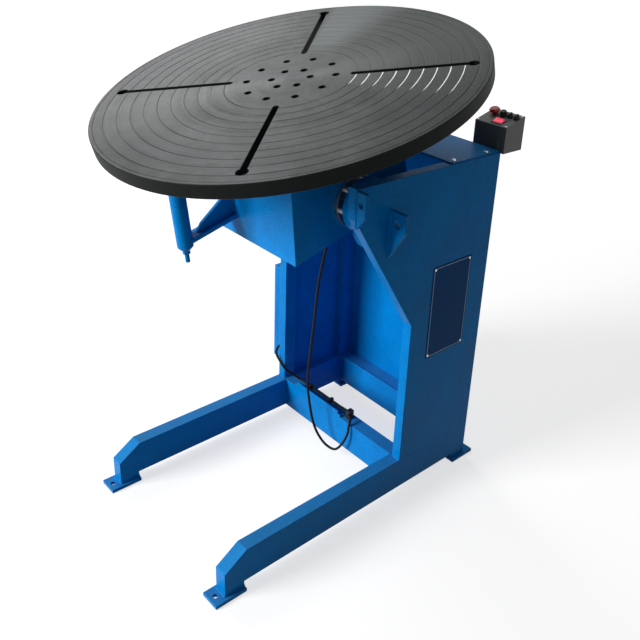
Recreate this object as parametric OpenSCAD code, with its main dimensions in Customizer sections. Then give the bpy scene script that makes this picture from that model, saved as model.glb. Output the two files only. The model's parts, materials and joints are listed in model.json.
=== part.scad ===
// Welding positioner: a floor stand with two columns carries a tilting cradle,
// and the cradle carries a slotted turntable on a geared spindle.
// +Z is up, -Y is the front, and the origin is on the floor at the middle of the
// four anchor holes. The stand is drawn with the table tipped forward to table_tilt.

/* [Turntable] */
// Diameter of the turntable
table_d = 1000; // [900:10:1100]
// Thickness of the turntable
table_t = 35; // [30:1:45]
// Angle from level that the table is tipped forward
table_tilt = 16.25; // [0:0.25:30]
// Angle of the first slot from +X, seen from above the table
table_turn = 38.4; // [0:0.1:60]
// Width of the four clamping slots
slot_w = 16; // [12:1:20]
// Distance from the table's centre to the slots' inner ends
slot_in = 152; // [145:1:170]
// Distance from the table's centre to the keyholes
slot_out = 452; // [400:1:460]
// Diameter of the keyhole at each slot's outer end
keyhole_d = 29; // [26:1:32]
// Distance between the turned centring rings
ring_step = 33; // [25:1:40]
// Number of centring rings
ring_count = 10; // [6:1:10]
// Radius of the smallest centring ring
ring_first = 168; // [160:1:175]
// Width of a turned ring
ring_w = 1.6; // [1:0.1:2.5]
// Depth of a turned ring
ring_depth = 0.8; // [0.4:0.1:1.2]

/* [Table screws] */
// Number of screws in the outer circle
outer_screws = 10; // [8:1:12]
// Radius of the outer screw circle
outer_screw_r = 115; // [110:1:118]
// Number of screws in the inner circle
inner_screws = 6; // [4:1:8]
// Radius of the inner screw circle
inner_screw_r = 50; // [46:1:60]
// Thread diameter of the table screws
screw_d = 12; // [10:1:12]
// Diameter of the counterbore round each screw head
bore_d = 19; // [18.4:0.1:22]
// Depth of the counterbore
bore_depth = 20; // [16:1:22]

/* [Base frame] */
// Length of the two side legs
base_l = 912; // [860:1:1000]
// Width over the two side legs
base_w = 584; // [560:1:640]
// Width of a leg tube
leg_w = 40; // [36:1:50]
// Height of a leg tube
leg_h = 100; // [80:1:120]
// Clear height under the legs
foot_h = 27; // [22:1:40]
// Length of the slope at a leg's front end
nose_l = 66; // [40:1:90]
// Height of the slope at a leg's front end
nose_h = 44; // [30:1:60]
// Length of the down-turned stub at each end of a leg
stub_l = 58; // [50:1:70]
// Thickness of an anchor plate
anchor_t = 10; // [8:1:14]
// Width of an anchor plate
anchor_w = 60; // [52:1:80]
// Length of an anchor plate
anchor_l = 92; // [85:1:110]
// How far an anchor plate stands out past the leg's end
anchor_out = 33; // [30:1:45]
// Diameter of an anchor hole
anchor_d = 14; // [12:1:18]
// Distance from the plate's outer edge to its hole
anchor_in = 17; // [14:1:20]
// Depth of the front crossbeam, front to back
front_beam_d = 45; // [40:1:60]
// Depth of the rear crossbeam and posts, front to back
rear_beam_d = 57; // [50:1:70]

/* [Columns] */
// Depth of a column at its foot, front to back
column_d = 303; // [280:1:330]
// Height of the columns' top above the floor
column_top = 1025; // [1020:1:1060]
// How far the column's top reaches forward of its foot
column_reach = 229; // [210:1:240]
// Height of the stretch where the columns lean forward
lean_rise = 363; // [330:1:400]
// Distance from the columns' top down to where the lean ends
lean_drop = 79; // [60:1:110]
// Thickness of the columns' outer side plates
side_t = 6; // [5:1:8]
// Width of the posts and edge bars, with the side plate
post_w = 30; // [28:1:40]
// Depth of the front posts, front to back
front_post_d = 42; // [38:1:60]
// Thickness of the edge bars along the lean and the top
edge_t = 8; // [6:1:10]
// Thickness of the rear panel
panel_t = 4; // [3:0.5:6]
// Thickness of the top cover
cover_t = 4; // [3:0.5:6]
// Length of the top cover, front to back
cover_l = 196; // [180:1:200]

/* [Tilting cradle] */
// Distance from the columns' top down to the tilt axis
axis_drop = 89; // [80:1:95]
// Distance of the tilt axis behind the origin
axis_y = 36; // [30:1:45]
// Distance from the tilt axis up to the table's top face
axis_to_table = 300; // [295:1:330]
// Sideways room between a side plate and the cradle box
box_side = 121; // [116:1:126]
// Distance from the tilt axis down to the box's underside
box_below = 80; // [75:1:95]
// Gap between the box and the table
box_gap = 60; // [60:1:70]
// Distance from the tilt axis to the box's lower front edge
box_front = 218; // [200:1:230]
// Distance from the tilt axis to the box's rear face
box_rear = 190; // [188:1:200]
// Angle by which the box's front leans back towards its top
box_lean = 11; // [0:0.5:14]
// Wall of the cradle box
box_wall = 8; // [6:1:12]
// Thickness of the cradle box's top plate
box_top_t = 12; // [10:1:16]

/* [Rotation drive] */
// Module of the spindle gear and its pinion
gear_m = 5; // [5:1:5]
// Teeth on the spindle gear
gear_z = 40; // [38:2:40]
// Teeth on the drive pinion
pinion_z = 16; // [16:1:17]
// Thickness of the spindle gear
gear_t = 26; // [20:1:28]
// Tooth clearance between gear and pinion
backlash = 0.3; // [0.2:0.05:0.5]
// Radius of the spindle's flange
flange_r = 135; // [130:1:140]
// Thickness of the spindle's flange
flange_t = 20; // [16:1:22]
// Radius of the spindle where the gear sits
spindle_r = 50; // [48:1:52]
// Step from one spindle seat to the next smaller one
seat_step = 5; // [4:1:6]
// Outer radius of the bearing tube
tube_r = 86; // [84:1:88]
// Side of the rotation gearbox, which is square
rot_gearbox_w = 78; // [70:1:80]
// Diameter of the rotation motor
rot_motor_d = 76; // [70:1:78]

/* [Tilt drive] */
// Radius of the trunnion shafts
trunnion_r = 30; // [25:1:32]
// Radius of the trunnions' flanges
trunnion_flange_r = 70; // [60:1:74]
// Thickness of the trunnions' flanges
trunnion_flange_t = 12; // [10:1:14]
// Radius of the wheel housing of the tilt gearbox
wheel_case_r = 74; // [70:1:76]
// Width of the tilt gearbox along the tilt axis
gearbox_w = 84; // [80:1:85]
// Distance from the tilt axis down to the worm axis
worm_drop = 63; // [60:1:66]
// Diameter of the tilt motor
motor_d = 104; // [96:2:106]
// Length of the tilt motor's body
motor_l = 160; // [140:1:180]
// Side of the square flange of the left bearing, before its corners are cut
bearing_w = 130; // [120:1:136]

/* [Earth brush] */
// Sideways place of the earth brush
brush_x = -100; // [-110:1:-90]
// Distance of the brush in front of the tilt axis, at its lower end
brush_y = -362; // [-370:1:-340]
// Diameter of the brush holder
brush_d = 42; // [38:1:46]
// Distance from the tilt axis down to the holder's lower end
brush_low = 38; // [30:1:50]
// Angle by which the brush leans back towards its top
brush_lean = 9; // [0:1:12]
// Width of the arm that carries the brush
arm_w = 40; // [36:1:50]
// Thickness of the arm
arm_t = 12; // [10:1:16]
// How far the brush can be pushed in
brush_stroke = 8; // [6:1:10]

/* [Control cabinet and box] */
// Width of the control cabinet, front to back
cabinet_w = 200; // [170:5:205]
// Height of the control cabinet
cabinet_h = 360; // [320:5:380]
// Depth of the control cabinet, away from the column
cabinet_d = 135; // [120:5:160]
// Sheet thickness of the cabinet and its door
sheet_t = 2; // [1.5:0.5:3]
// Depth of the cabinet's door
door_d = 18; // [14:1:22]
// Width of the operator's control box
control_w = 110; // [100:1:130]
// Length of the operator's control box, front to back
control_l = 80; // [76:1:100]
// Height of the control box at its rear edge
control_h = 95; // [85:1:110]
// Slope of the control box's top towards the front
control_slope = 15; // [0:1:20]

/* [Cable and fittings] */
// Diameter of the motor cable
cable_d = 8; // [7:0.5:9]
// Length of the flat guard on the front crossbeam
guard_l = 230; // [180:1:250]
// Width of the nameplate
plate_w = 157; // [140:1:165]
// Height of the nameplate
plate_h = 286; // [260:1:300]
// Distance from the column's rear edge to the nameplate
plate_rear = 75; // [60:1:80]
// Distance from the columns' top down to the nameplate
plate_drop = 288; // [270:1:310]

/* [Clearances] */
// Radial clearance of a running fit
run_gap = 0.05; // [0.02:0.01:0.1]
// Gap between pieces that move past each other
move_gap = 0.3; // [0.2:0.1:0.5]

/* [Hidden] */
$fn = 64;
paint = [0.03, 0.42, 0.78];
steel = [0.45, 0.46, 0.46];
dark = [0.16, 0.17, 0.17];
black = [0.06, 0.06, 0.07];
silver = [0.75, 0.76, 0.78];
cut = 1;
leg_top = foot_h + leg_h;
leg_x = base_w/2 - leg_w/2;
end_y = base_l/2;
anchor_y = end_y + anchor_out - anchor_in;
anchor_x = leg_x;
col_front = end_y - column_d;
col_nose = col_front - column_reach;
wall_x = base_w/2 - side_t;
post_x = base_w/2 - post_w;
beam_x = base_w/2 - leg_w;
rear_y = end_y - rear_beam_d;
panel_y = end_y - panel_t;
lean_high = column_top - lean_drop;
lean_low = lean_high - lean_rise;
axis_z = column_top - axis_drop;
box_w = 2*(wall_x - box_side);
lean_k = column_reach/(lean_high - lean_low);
lean_in = edge_t*sqrt(1 + lean_k*lean_k);
cover_y = end_y - cover_l;
// Heights in the cradle's own frame, measured from the tilt axis along the spindle.
table_top = axis_to_table;
table_low = table_top - table_t;
box_top = table_low - box_gap;
box_back = box_front - (box_top + box_below)*tan(box_lean);
gear_top = table_low - flange_t - 6;
gear_low = gear_top - gear_t;
gear_a = gear_m*(gear_z + pinion_z)/2;
upper_h = 32;
upper_r = 70;
lower_h = 28;
lower_r = 65;
lower_z = 60;
tube_low = 30;
shaft_end = wall_x - 2;
bearing_l = 46;
drive_x = wall_x - 12 - gearbox_w/2;
head_z = table_top - bore_depth;
head_h = screw_d;
thread_l = 16;
gland_at = [10, 22];
gland_l = 24;
pinion_r = 14;
cab_y = end_y - 6 - cabinet_w;
cab_z = 95;
cab_x = -base_w/2 - 5;
door_x = cab_x - cabinet_d;
hinge_y = end_y;
lock_at = [cab_y + 22, cab_z + cabinet_h/2];
cab_gland = [cab_x - 21, cab_z + 125];
plate_y = end_y - plate_rear - plate_w;
plate_z = column_top - plate_drop - plate_h;
control_x = base_w/2 + 8 - control_w;
control_y = end_y + 2;
control_z = column_top - 4;
control_front = control_h - control_l*tan(control_slope);
rocker_at = [65, 22];
rocker_pin_r = 1.5;
stop_at = [22, 58];
knob_at = [52, 60];
turn_at = [75, 60];
tilt_at = [97, 60];
brush_r = brush_d/2;
tip_r = 15;

module box(a, b) translate(a) cube(b - a);

module slab(x0, x1) translate([x0, 0, 0]) rotate([90, 0, 90]) linear_extrude(x1 - x0) children();

module rod_x(x0, x1, r) translate([x0, 0, 0]) rotate([0, 90, 0]) cylinder(h = x1 - x0, r = r);

module rod_y(y0, y1, r) translate([0, y0, 0]) rotate([-90, 0, 0]) cylinder(h = y1 - y0, r = r);

module ring(z0, z1, r_out, r_in) {
  difference() {
    translate([0, 0, z0]) cylinder(h = z1 - z0, r = r_out);
    translate([0, 0, z0 - cut]) cylinder(h = z1 - z0 + 2*cut, r = r_in);
  }
}

module cap_screw(d, length) {
  difference() {
    union() {
      cylinder(h = d, r = 0.75*d);
      translate([0, 0, -length]) cylinder(h = length + cut, r = d/2);
    }
    translate([0, 0, d/2]) cylinder(h = d, r = 0.45*d, $fn = 6);
  }
}

// ---- base frame ----

module leg_shape() {
  polygon([
    [-end_y, anchor_t], [-end_y, leg_top - nose_h], [nose_l - end_y, leg_top], [end_y, leg_top],
    [end_y, anchor_t], [end_y - stub_l, anchor_t], [end_y - stub_l, foot_h],
    [stub_l - end_y, foot_h], [stub_l - end_y, anchor_t]
  ]);
}

module left_leg() color(paint) slab(-base_w/2, -beam_x) leg_shape();

module right_leg() color(paint) slab(beam_x, base_w/2) leg_shape();

module anchor_plates() {
  color(paint)
  for (sx = [-1, 1], sy = [-1, 1])
    translate([sx*anchor_x, sy*(end_y + anchor_out - anchor_l/2), 0])
      difference() {
        translate([-anchor_w/2, -anchor_l/2, 0]) cube([anchor_w, anchor_l, anchor_t]);
        translate([0, sy*(anchor_l/2 - anchor_in), -cut]) cylinder(h = anchor_t + 2*cut, d = anchor_d);
      }
}

module front_crossbeam()
  color(paint) box([-beam_x, col_front, foot_h], [beam_x, col_front + front_beam_d, leg_top]);

module rear_crossbeam()
  color(paint) box([-beam_x, rear_y, foot_h], [beam_x, end_y, leg_top]);

// ---- columns ----

module column_shape() {
  polygon([
    [end_y, leg_top], [end_y, column_top], [col_nose, column_top],
    [col_nose, lean_high], [col_front, lean_low], [col_front, leg_top]
  ]);
}

module bearing_holes() {
  for (a = [45:90:315])
    translate([0, axis_y, axis_z]) rotate([a, 0, 0]) translate([0, 0, 68]) rod_x(-base_w, base_w, 4);
}

module side_plate(x0, x1, hole_x) {
  difference() {
    slab(x0, x1) column_shape();
    intersection() {
      bearing_holes();
      box([hole_x, -base_l, 0], [hole_x + side_t, base_l, 2*column_top]);
    }
  }
}

module left_side_plate() color(paint) side_plate(-base_w/2, -wall_x, 1 - base_w/2);

module right_side_plate() color(paint) side_plate(wall_x, base_w/2, wall_x - 1);

module front_post(x) {
  color(paint) box([x, col_front, leg_top], [x + post_w - side_t, col_front + front_post_d, lean_low]);
}

module left_front_post() front_post(-wall_x);

module right_front_post() front_post(post_x);

module rear_post(x) {
  difference() {
    color(paint) box([x, rear_y, leg_top], [x + post_w - side_t, panel_y, column_top]);
    cover_holes();
  }
}

module left_rear_post() rear_post(-wall_x);

module right_rear_post() rear_post(post_x);

module edge_shape() {
  polygon([
    [col_front, lean_low], [col_nose, lean_high], [col_nose, column_top - edge_t],
    [col_nose + edge_t, column_top - edge_t],
    [col_nose + edge_t, lean_high + (lean_in - edge_t)/lean_k], [col_front + lean_in, lean_low]
  ]);
}

module left_edge_bar() color(paint) slab(-wall_x, -post_x) edge_shape();

module right_edge_bar() color(paint) slab(post_x, wall_x) edge_shape();

module top_bar(x) {
  difference() {
    color(paint) box([x, col_nose, column_top - edge_t], [x + post_w - side_t, rear_y, column_top]);
    cover_holes();
  }
}

module left_top_bar() top_bar(-wall_x);

module right_top_bar() top_bar(post_x);

module rear_panel()
  color(paint) box([-wall_x, panel_y, leg_top], [wall_x, end_y, column_top]);

module at_cover_screws() {
  for (sx = [-1, 1]) {
    translate([sx*(wall_x - 11), cover_y + 20, column_top]) children();
    translate([sx*(wall_x - 11), end_y - 42, column_top]) children();
  }
}

module cover_holes() at_cover_screws() translate([0, 0, -edge_t]) cylinder(h = 2*edge_t, r = 3);

module top_cover() {
  color(paint) difference() {
    box([2 - base_w/2, cover_y, column_top], [base_w/2 - 2, end_y, column_top + cover_t]);
    cover_holes();
  }
}

module cover_screws() {
  color(silver) at_cover_screws() {
    translate([0, 0, -edge_t]) cylinder(h = edge_t + cover_t + cut, r = 3);
    difference() {
      translate([0, 0, cover_t]) cylinder(h = 3, r1 = 6, r2 = 4.5);
      translate([0, 0, cover_t + 1.5]) cylinder(h = 3, r = 2.2, $fn = 6);
    }
  }
}

module lug(y, low, corner, top, out, hole_r, hole) {
  translate([0, y + 5, 0]) rotate([90, 0, 0]) linear_extrude(10)
    difference() {
      polygon([[0, low], [out, corner], [out, top], [0, top]]);
      translate(hole) circle(r = hole_r);
    }
}

module lug_pair() {
  z = column_top;
  lug(axis_y + 9, z - 207, z - 124, z - 76, 53, 11, [27, z - 107]);
  lug(col_nose + 5, z - 101, z - 65, z - 4, 31, 8, [15, z - 35]);
}

module lifting_lugs() {
  color(paint) {
    translate([base_w/2, 0, 0]) lug_pair();
    mirror([1, 0, 0]) translate([base_w/2, 0, 0]) lug_pair();
  }
}

module at_plate_rivets() {
  for (y = [8, plate_w - 8], z = [8, plate_h - 8])
    translate([base_w/2, plate_y + y, plate_z + z]) children();
}

module nameplate() {
  color([0.05, 0.11, 0.3]) difference() {
    box([base_w/2, plate_y, plate_z], [base_w/2 + 1.5, plate_y + plate_w, plate_z + plate_h]);
    at_plate_rivets() rod_x(-cut, 3, 2);
  }
}

module nameplate_rivets() {
  color(silver) at_plate_rivets() {
    rod_x(0, 1.5, 2);
    translate([1.5, 0, 0]) rotate([0, 90, 0]) cylinder(h = 1, r1 = 3.5, r2 = 2.5);
  }
}

// ---- cable and its fittings ----

module cable_guard() {
  color(paint) translate([-205, col_front, leg_top]) difference() {
    union() {
      cube([guard_l, 18, 2]);
      cube([guard_l, 2, 19]);
    }
    translate([-cut, -cut, 9]) cube([13, 5, 12]);
    translate([guard_l - 12, -cut, 9]) cube([13, 5, 12]);
  }
}

module clip(x, y, z) {
  difference() {
    box([x - 5, y - 9, leg_top], [x + 5, y + 7, z + cable_d/2 + 3]);
    translate([0, y, z]) rod_x(x - 6, x + 6, cable_d/2 + 0.5);
    box([x - 6, y - cable_d/2 - 0.5, leg_top - cut], [x + 6, y + cable_d/2 + 0.5, z]);
  }
}

module cable_clips() {
  color(dark) {
    clip(-60, 189, leg_top + 5);
    clip(-160, 189, leg_top + 5);
    difference() {
      box([36, 167, leg_top], [52, 187, leg_top + 29]);
      translate([43.5, 176.2, leg_top + 16]) rotate([0, -9, -33]) rod_x(-20, 20, cable_d/2 + 2);
    }
  }
}

function turned(p) = [
  p[0], axis_y + p[1]*cos(table_tilt) - p[2]*sin(table_tilt),
  axis_z + p[1]*sin(table_tilt) + p[2]*cos(table_tilt)
];
cable_points = [
  turned([gland_at[0], gland_at[1], -box_below - gland_l - 0.3]),
  turned([gland_at[0], gland_at[1], -box_below - gland_l - 10]),
  turned([gland_at[0], gland_at[1], -box_below - gland_l - 24]),
  [6, 92, 760], [-8, 86, 680], [-18, 80, 600], [-32, 80, 460], [-48, 80, 320], [-54, 82, 240],
  [-49, 90, 159], [-38, 95, 105], [-20, 101, 65], [10, 110, 36], [44, 120, 32], [66, 130, 62],
  [77, 140, 100], [76, 145, 126], [66, 160, 143], [44, 177, 144], [20, 187, 136],
  [-20, 189, 132], [-60, 189, 132], [-110, 189, 132], [-160, 189, 132],
  [-205, 187, 132.5], [-232, 172, 146], [-252, 150, 168], [-276, 145, 189], [-300, 146, 210],
  [-315, 168, 222], [cab_gland[0], 205, cab_gland[1]], [cab_gland[0], cab_y - 18.3, cab_gland[1]]
];

function spline(a, b, c, d, t) =
  0.5*(2*b + (c - a)*t + (2*a - 5*b + 4*c - d)*t*t + (3*b - a - 3*c + d)*t*t*t);
function path(p, steps) = concat(
  [for (i = [0:len(p) - 2], j = [0:steps - 1])
    spline(p[max(0, i - 1)], p[i], p[i + 1], p[min(len(p) - 1, i + 2)], j/steps)],
  [p[len(p) - 1]]
);
function unit(v) = v/norm(v);
function heading(p, i) = unit(p[min(len(p) - 1, i + 1)] - p[max(0, i - 1)]);
function carried(p, i, n) =
  let (t = heading(p, i), m = unit(n - (n*t)*t))
  i == len(p) - 1 ? [m] : concat([m], carried(p, i + 1, m));

module tube(p, d, sides) {
  n = carried(p, 0, [1, 0, 0]);
  rings = [for (i = [0:len(p) - 1], k = [0:sides - 1])
    p[i] + d/2*(cos(360*k/sides)*n[i] + sin(360*k/sides)*cross(heading(p, i), n[i]))];
  walls = [for (i = [0:len(p) - 2], k = [0:sides - 1])
    let (a = i*sides + k, b = i*sides + (k + 1)%sides)
    each [[a, b, b + sides], [a, b + sides, a + sides]]];
  ends = [
    [for (k = [0:sides - 1]) sides - 1 - k],
    [for (k = [0:sides - 1]) (len(p) - 1)*sides + k]
  ];
  polyhedron(points = rings, faces = concat([for (f = walls) [f[2], f[1], f[0]]],
    [for (f = ends) [for (k = [0:sides - 1]) f[sides - 1 - k]]]));
}

module cable() color(black) tube(path(cable_points, 2), cable_d, 10);

module gland(length) {
  difference() {
    union() {
      cylinder(h = 8, r = 11, $fn = 6);
      translate([0, 0, 7]) cylinder(h = length - 7, r1 = 9, r2 = 6.5);
    }
    translate([0, 0, -cut]) cylinder(h = length - 2, r = 3);
  }
}

module cradle_gland() {
  color(dark) cradle_frame()
    translate([gland_at[0], gland_at[1], -box_below]) mirror([0, 0, 1]) gland(gland_l);
}

module cabinet_gland() {
  color(dark) translate([cab_gland[0], cab_y, cab_gland[1]]) rotate([90, 0, 0]) gland(18);
}

// ---- tilting cradle ----

module cradle_frame() translate([0, axis_y, axis_z]) rotate([table_tilt, 0, 0]) children();

module box_shape() {
  polygon([[-box_front, -box_below], [box_rear, -box_below], [box_rear, box_top], [-box_back, box_top]]);
}

module box_room() {
  k = tan(box_lean);
  low = box_wall - box_below;
  high = box_top - box_top_t;
  front = box_front - box_wall/cos(box_lean);
  polygon([
    [box_wall*k - front, low], [box_rear - box_wall, low],
    [box_rear - box_wall, high], [(high + box_below)*k - front, high]
  ]);
}

module at_trunnion_screws() {
  for (a = [30:60:330], sx = [0, 1])
    mirror([sx, 0, 0]) rotate([a, 0, 0]) translate([box_w/2 + trunnion_flange_t, 0, 54]) children();
}

module at_cradle_cover_screws() {
  side = box_w/2 - 33;
  for (x = [-side, 0, side], z = [18 - box_below, box_top - 18]) translate([x, box_rear + 5, z]) children();
  for (x = [-side, side]) translate([x, box_rear + 5, (box_top - box_below)/2]) children();
}

module cradle_box() {
  color(paint) cradle_frame() difference() {
    slab(-box_w/2, box_w/2) box_shape();
    slab(box_wall - box_w/2, box_w/2 - box_wall) box_room();
    box([47 - box_w/2, box_rear - 2*box_wall, 32 - box_below],
        [box_w/2 - 47, box_rear + cut, box_top - 32]);
    translate([0, 0, box_top - 2*box_top_t]) cylinder(h = 3*box_top_t, r = tube_r);
    translate([0, gear_a, box_top - 2*box_top_t]) cylinder(h = 3*box_top_t, r = 26);
    translate([gland_at[0], gland_at[1], -box_below - cut]) cylinder(h = 2*box_wall, r = 6);
    rod_x(-box_w, box_w, trunnion_r);
    at_trunnion_screws() rod_x(-40, 0, 5);
    at_cradle_cover_screws() rod_y(-20, 0, 4);
  }
}

module cradle_cover() {
  color(paint) cradle_frame() difference() {
    box([20 - box_w/2, box_rear, 6 - box_below], [box_w/2 - 20, box_rear + 5, box_top - 6]);
    at_cradle_cover_screws() rod_y(-20, cut, 4);
  }
}

module cradle_screws() {
  color(silver) cradle_frame() {
    at_trunnion_screws() rotate([0, 90, 0]) cap_screw(10, 20);
    at_cradle_cover_screws() rotate([-90, 0, 0]) cap_screw(8, 12);
  }
}

module trunnion() {
  x = box_w/2;
  difference() {
    union() {
      rod_x(x, x + trunnion_flange_t, trunnion_flange_r);
      rod_x(x + 1, x + trunnion_flange_t + 7, trunnion_r + 8);
      rod_x(x - box_wall, shaft_end, trunnion_r);
    }
    for (a = [30:60:330]) rotate([a, 0, 0]) translate([0, 0, 54]) rod_x(x - cut, x + 20, 5);
    rod_x(shaft_end - 12, shaft_end + cut, 6);
  }
}

module right_trunnion() color(steel) cradle_frame() trunnion();

module left_trunnion() color(steel) cradle_frame() mirror([1, 0, 0]) trunnion();

module flange_shape(w) {
  intersection() {
    square(w, center = true);
    circle(r = 80);
  }
}

module at_bearing_screws(x) {
  for (a = [45:90:315]) rotate([a, 0, 0]) translate([x, 0, 68]) children();
}

module left_bearing() {
  color(paint) translate([0, axis_y, axis_z]) difference() {
    union() {
      slab(-wall_x, 14 - wall_x) flange_shape(bearing_w);
      translate([-wall_x, 0, 0]) rotate([0, 90, 0]) cylinder(h = bearing_l, r1 = 58, r2 = 50);
    }
    rod_x(-wall_x - cut, cut - wall_x + bearing_l, trunnion_r + run_gap);
    at_bearing_screws(-wall_x) rod_x(-cut, 20, 4);
    at_bearing_screws(14 - wall_x) rod_x(0, 60, 7);
  }
}

module tilt_gearbox() {
  color(paint) translate([0, axis_y, axis_z]) difference() {
    union() {
      slab(wall_x - 12, wall_x) flange_shape(140);
      rod_x(drive_x - gearbox_w/2, wall_x - 6, wheel_case_r - 14);
      rod_x(drive_x - 30, drive_x + 30, wheel_case_r);
      translate([drive_x, 0, -worm_drop]) rod_y(-32, 78, 34);
      translate([drive_x, 0, -worm_drop]) rod_y(-38, -31, 24);
      translate([drive_x, 0, -worm_drop]) rod_y(76, 84, motor_d/2);
      for (a = [-60:30:150]) rotate([a, 0, 0]) box([drive_x - 39, -3, 54], [drive_x + 37, 3, 70]);
    }
    rod_x(drive_x - gearbox_w, base_w, trunnion_r + run_gap);
    at_bearing_screws(wall_x) rod_x(-20, cut, 4);
    at_bearing_screws(wall_x - 12) rod_x(-60, 0, 7);
  }
}

module bearing_screws() {
  color(silver) translate([0, axis_y, axis_z]) {
    at_bearing_screws(wall_x - 12) rotate([0, -90, 0]) cap_screw(8, 17);
    at_bearing_screws(14 - wall_x) rotate([0, 90, 0]) cap_screw(8, 19);
  }
}

module tilt_motor() {
  color(dark) translate([drive_x, axis_y, axis_z - worm_drop]) {
    rod_y(84, 84 + motor_l, motor_d/2 - 7);
    for (a = [0:15:345]) rotate([0, a, 0]) box([motor_d/2 - 9, 88, -1], [motor_d/2 - 1, 80 + motor_l, 1]);
    rod_y(84, 92, motor_d/2 - 0.5);
    rod_y(78 + motor_l, 84 + motor_l, motor_d/2 - 2);
    difference() {
      box([-32, 110, motor_d/2 - 9], [30, 190, motor_d/2 + 24]);
      translate([0, 150, motor_d/2 + 23]) box([-28, -36, 0], [26, 36, 2]);
    }
  }
}

module motor_fan_cover() {
  color(black) translate([drive_x, axis_y + 84 + motor_l, axis_z - worm_drop]) difference() {
    rod_y(0, 46, motor_d/2 - 2);
    rod_y(-cut, 42, motor_d/2 - 4);
    for (r = [14, 26, 38], a = [0:30:330])
      rotate([0, a, 0]) translate([r, 0, 0]) rod_y(30, 50, 2 + r/16);
  }
}

// ---- spindle and rotation drive ----

module bearing_tube() {
  color(steel) cradle_frame() difference() {
    ring(tube_low, box_top, tube_r, lower_r - 5);
    translate([0, 0, box_top - upper_h]) cylinder(h = upper_h + cut, r = upper_r);
    translate([0, 0, tube_low - cut]) cylinder(h = lower_z + lower_h - tube_low + cut, r = lower_r);
  }
}

module upper_bearing()
  color(silver) cradle_frame() ring(box_top - upper_h, box_top, upper_r, spindle_r - seat_step + run_gap);

module lower_bearing()
  color(silver) cradle_frame() ring(lower_z, lower_z + lower_h, lower_r, spindle_r - 2*seat_step + run_gap);

module at_table_screws(z) {
  for (i = [0:outer_screws - 1])
    rotate([0, 0, table_turn + i*360/outer_screws]) translate([outer_screw_r, 0, z]) children();
  for (i = [0:inner_screws - 1])
    rotate([0, 0, table_turn + i*360/inner_screws]) translate([inner_screw_r, 0, z]) children();
}

module spindle() {
  low = lower_z - move_gap;
  color(steel) cradle_frame() difference() {
    union() {
      translate([0, 0, table_low - flange_t]) cylinder(h = flange_t, r = flange_r);
      translate([0, 0, gear_top]) cylinder(h = 7, r = spindle_r + 12);
      translate([0, 0, box_top + move_gap]) cylinder(h = gear_top - box_top, r = spindle_r);
      translate([0, 0, box_top - upper_h]) cylinder(h = upper_h + cut, r = spindle_r - seat_step);
      translate([0, 0, lower_z]) cylinder(h = box_top - upper_h - lower_z + cut, r = spindle_r - 2*seat_step);
      translate([0, 0, low - 24]) cylinder(h = 26, r = spindle_r - 3*seat_step);
    }
    at_table_screws(table_low - thread_l - 2) cylinder(h = thread_l + 3, d = screw_d);
  }
}

module spindle_nut() {
  top = lower_z - move_gap;
  color(dark) cradle_frame() difference() {
    ring(top - 20, top, 56, spindle_r - 3*seat_step);
    for (a = [0:60:300]) rotate([0, 0, a]) box([51, -4, top - 21], [60, 4, top + cut]);
  }
}

function involute(r, base) = let (a = acos(min(1, base/r))) tan(a)*180/PI - a;
function half_tooth(r, m, z) =
  90/z - backlash/4*360/(PI*m*z) + involute(m*z/2, m*z/2*cos(20)) - involute(r, m*z/2*cos(20));
function tooth_radii(m, z) =
  let (low = max(m*z/2*cos(20), m*z/2 - 1.2*m)) [for (i = [0:4]) low + (m*z/2 + m - low)*i/4];
function spoke(r, a) = [r*cos(a), r*sin(a)];
function gear_outline(m, z) = [
  for (k = [0:z - 1])
    let (a = 360*k/z, rs = tooth_radii(m, z), root = m*z/2 - 1.25*m, h = half_tooth(rs[0], m, z))
    each concat(
      [spoke(root, a - h)],
      [for (i = [0:4]) spoke(rs[i], a - half_tooth(rs[i], m, z))],
      [for (i = [4:-1:0]) spoke(rs[i], a + half_tooth(rs[i], m, z))],
      [spoke(root, a + h)]
    )
];

module spindle_gear() {
  color(steel) cradle_frame() translate([0, 0, gear_low]) difference() {
    linear_extrude(gear_t) polygon(gear_outline(gear_m, gear_z));
    translate([0, 0, -cut]) cylinder(h = gear_t + 2*cut, r = spindle_r);
    for (a = [30:60:330]) rotate([0, 0, a]) translate([76, 0, -cut]) cylinder(h = gear_t + 2*cut, r = 9);
  }
}

module drive_pinion() {
  color(steel) cradle_frame() translate([0, gear_a, gear_low - 1]) {
    rotate([0, 0, 180/pinion_z]) linear_extrude(gear_t + 2) polygon(gear_outline(gear_m, pinion_z));
    translate([0, 0, -50]) cylinder(h = 51, r = pinion_r);
  }
}

module rotation_gearbox() {
  top = box_top - box_top_t;
  h = rot_gearbox_w/2;
  color(dark) cradle_frame() translate([0, gear_a, 0]) difference() {
    union() {
      box([-h, -h, top - 72], [h, h, top]);
      translate([0, 0, top - 1]) cylinder(h = box_top_t + 1, r = 26);
      translate([0, 0, top - 84]) cylinder(h = 13, r = h);
    }
    translate([0, 0, gear_low - 60]) cylinder(h = 100, r = pinion_r + run_gap);
    for (x = [-1, 1]) box([x*h - 3, -h + 10, top - 60], [x*h + 3, h - 10, top - 12]);
  }
}

module rotation_motor() {
  top = box_top - box_top_t - 84;
  r = rot_motor_d/2;
  color(black) cradle_frame() translate([0, gear_a, 0]) {
    translate([0, 0, top - 150]) cylinder(h = 150, r = r - 4);
    for (a = [10:20:350]) rotate([0, 0, a]) box([r - 6, -1, top - 140], [r - 0.6, 1, top - 8]);
    translate([0, 0, top - 10]) cylinder(h = 10, r = r);
    translate([0, 0, top - 150]) cylinder(h = 12, r = r);
    box([r - 6, -20, top - 80], [r + 22, 20, top - 30]);
  }
}

// ---- turntable ----

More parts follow.
